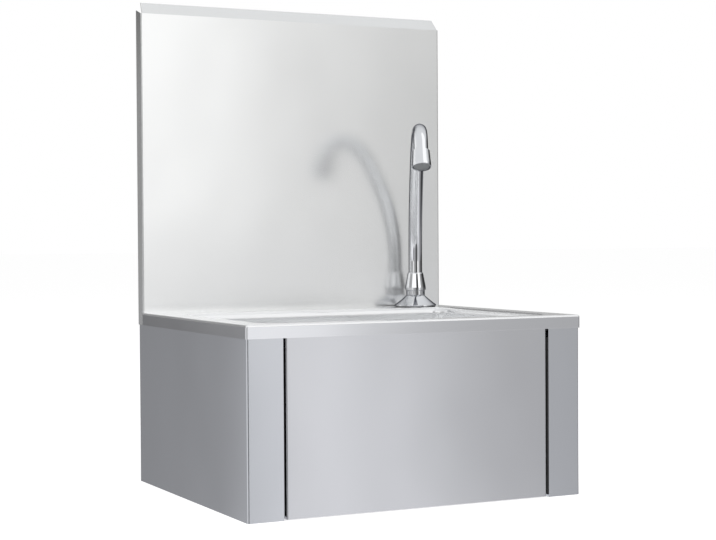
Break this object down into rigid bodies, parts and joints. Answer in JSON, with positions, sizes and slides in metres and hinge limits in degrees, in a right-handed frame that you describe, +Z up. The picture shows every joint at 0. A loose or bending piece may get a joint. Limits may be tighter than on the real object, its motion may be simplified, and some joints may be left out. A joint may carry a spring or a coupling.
{
  "type": "hand wash sink",
  "caption": "Wall-hung stainless hand wash sink with a tall splashback, swan-neck spout and a hinged knee panel that pushes a self-closing valve.",
  "frame": {"origin": "middle of the footprint at the level of the body's bottom edges", "axes": "+X to the user's right, +Y towards the wall, +Z up"},
  "size_m": [0.4, 0.335, 0.565],
  "materials": {
    "splash_steel": "satin-brushed stainless sheet, soft reflections",
    "deck_steel": "satin-brushed stainless sheet",
    "bowl_steel": "satin-polished pressed stainless",
    "body_steel": "satin-brushed stainless sheet",
    "panel_steel": "satin-brushed stainless sheet",
    "bracket_steel": "plain stainless brackets and fasteners",
    "chrome": "bright chrome plating",
    "aerator_grey": "grey moulded aerator",
    "rubber": "black rubber",
    "nylon": "natural nylon",
    "brass": "nickel-plated brass",
    "button_steel": "turned stainless",
    "spring_steel": "stainless spring wire",
    "braid": "stainless braid over a hose",
    "waste_steel": "polished stainless strainer",
    "waste_plastic": "white polypropylene waste"
  },
  "bodies": {
    "root": {"back_panel": "splash_steel", "sink_deck": "deck_steel", "sink_bowl": "bowl_steel", "side_panel_left": "body_steel", "side_panel_right": "body_steel", "hinge_bracket_left": "bracket_steel", "hinge_bracket_right": "bracket_steel", "valve_bracket": "bracket_steel", "hinge_rod": "bracket_steel", "hinge_nuts": "bracket_steel", "bracket_screws": "bracket_steel", "shank_washer": "bracket_steel", "spout_base": "chrome", "base_ring": "chrome", "swivel_collar": "chrome", "edge_buffer_left": "rubber", "edge_buffer_right": "rubber", "gasket_upper": "rubber", "gasket_lower": "rubber", "base_gasket": "rubber", "tube_seal": "rubber", "valve_body": "brass", "valve_cap": "brass", "valve_locknut": "brass", "mixing_tee": "brass", "check_valve_cold": "brass", "check_valve_hot": "brass", "hose_nut_valve": "brass", "hose_nut_spout": "brass", "spout_shank": "brass", "shank_nut": "brass", "valve_spring": "spring_steel", "spout_hose": "braid", "strainer_plate": "waste_steel", "strainer_screw": "waste_steel", "drain_body": "waste_plastic", "drain_tail": "waste_plastic", "drain_nut": "waste_plastic"},
    "knee_panel": {"knee_panel": "panel_steel", "hinge_bush_left": "nylon", "hinge_bush_right": "nylon", "pusher_bracket": "bracket_steel", "pusher_bolt": "bracket_steel", "pusher_locknut": "bracket_steel", "pusher_pad": "nylon"},
    "valve_button": {"valve_button": "button_steel", "valve_seal": "rubber"},
    "spout": {"spout_tube": "chrome", "aerator_housing": "chrome", "aerator_insert": "aerator_grey"}
  },
  "joints": [
    {"name": "knee_panel_hinge", "type": "hinge", "parent": "root", "child": "knee_panel", "pos_m": [0, -0.157, 0.191], "axis": [1, 0, 0], "range_deg": [0, 4]},
    {"name": "valve_button_slide", "type": "slide", "parent": "root", "child": "valve_button", "axis": [0, 1, 0], "range_m": [0, 0.0106], "stiffness_N_per_m": 1400, "springref_m": -0.007, "deforming": ["valve_spring"]},
    {"name": "spout_swivel", "type": "hinge", "parent": "root", "child": "spout", "pos_m": [0.1495, 0.1225, 0.2155], "axis": [0, 0, 1], "range_deg": [-60, 110]}
  ],
  "couplings": [
    {"joint": "valve_button_slide", "follows": "knee_panel_hinge", "m_per_rad": 0.151}
  ]
}
